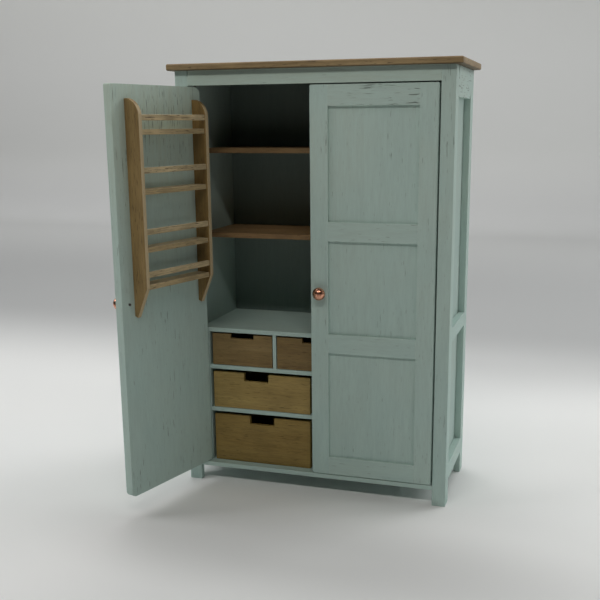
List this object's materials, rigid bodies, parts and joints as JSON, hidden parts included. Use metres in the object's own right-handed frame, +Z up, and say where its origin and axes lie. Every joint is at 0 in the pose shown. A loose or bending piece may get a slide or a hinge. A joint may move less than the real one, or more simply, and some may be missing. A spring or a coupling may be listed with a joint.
{
  "type": "miniature wardrobe",
  "caption": "One-twelfth scale larder wardrobe: painted panelled carcass and doors, oak top, shelves, inner drawers and a spice rack that swings with one door.",
  "frame": {"origin": "on the floor, under the middle of the carcass", "axes": "+Z up, -Y out of the front, +X to the right as the front is faced"},
  "size_m": [0.1111, 0.0825, 0.1557],
  "materials": {
    "sage_paint": "matt chalk paint, worn at the edges",
    "oak_top": "waxed",
    "inner_oak": "waxed",
    "drawer_wood": "waxed",
    "copper": "polished copper",
    "dark_steel": "dark"
  },
  "bodies": {
    "carcass": {"front_leg_stile_left": "sage_paint", "front_leg_stile_right": "sage_paint", "side_stile_front_left": "sage_paint", "side_stile_front_right": "sage_paint", "side_stile_back_left": "sage_paint", "side_stile_back_right": "sage_paint", "side_top_rail_left": "sage_paint", "side_top_rail_right": "sage_paint", "side_middle_rail_left": "sage_paint", "side_middle_rail_right": "sage_paint", "side_bottom_rail_left": "sage_paint", "side_bottom_rail_right": "sage_paint", "side_panel_left": "sage_paint", "side_panel_right": "sage_paint", "front_top_rail": "sage_paint", "bottom_board": "sage_paint", "back_panel": "sage_paint", "worktop": "sage_paint", "drawer_board_lower": "sage_paint", "drawer_board_upper": "sage_paint", "drawer_cheek_left": "sage_paint", "drawer_cheek_right": "sage_paint", "drawer_partition": "sage_paint", "small_drawer_dividers": "sage_paint", "shelf_lower": "inner_oak", "shelf_upper": "inner_oak", "top_board": "oak_top", "small_drawer_middle_front": "drawer_wood", "small_drawer_middle_box": "drawer_wood", "small_drawer_right_front": "drawer_wood", "small_drawer_right_box": "drawer_wood", "upper_drawer_right_front": "drawer_wood", "upper_drawer_right_box": "drawer_wood", "lower_drawer_right_front": "drawer_wood", "lower_drawer_right_box": "drawer_wood"},
    "left_door": {"left_door_board": "sage_paint", "left_door_hinge_stile": "sage_paint", "left_door_meeting_stile": "sage_paint", "left_door_rails": "sage_paint", "left_door_pins": "dark_steel", "left_door_knob": "copper", "left_door_knob_screw": "dark_steel", "rack_upright_hinge_side": "inner_oak", "rack_upright_knob_side": "inner_oak", "rack_shelves": "inner_oak", "rack_bars": "inner_oak"},
    "right_door": {"right_door_board": "sage_paint", "right_door_hinge_stile": "sage_paint", "right_door_meeting_stile": "sage_paint", "right_door_rails": "sage_paint", "right_door_pins": "dark_steel", "right_door_knob": "copper", "right_door_knob_screw": "dark_steel"},
    "small_drawer_left": {"small_drawer_left_front": "drawer_wood", "small_drawer_left_box": "drawer_wood"},
    "upper_drawer_left": {"upper_drawer_left_front": "drawer_wood", "upper_drawer_left_box": "drawer_wood"},
    "lower_drawer_left": {"lower_drawer_left_front": "drawer_wood", "lower_drawer_left_box": "drawer_wood"}
  },
  "joints": [
    {"name": "left_door", "type": "hinge", "parent": "carcass", "child": "left_door", "pos_m": [-0.0432, -0.01905, 0.0779], "axis": [0, 0, -1], "range_deg": [-105, 2]},
    {"name": "right_door", "type": "hinge", "parent": "carcass", "child": "right_door", "pos_m": [0.0432, -0.01905, 0.0779], "axis": [0, 0, 1], "range_deg": [0, 107]},
    {"name": "small_drawer_left", "type": "slide", "parent": "carcass", "child": "small_drawer_left", "axis": [0, -1, 0], "range_m": [0, 0.025]},
    {"name": "upper_drawer_left", "type": "slide", "parent": "carcass", "child": "upper_drawer_left", "axis": [0, -1, 0], "range_m": [0, 0.025]},
    {"name": "lower_drawer_left", "type": "slide", "parent": "carcass", "child": "lower_drawer_left", "axis": [0, -1, 0], "range_m": [0, 0.025]}
  ]
}
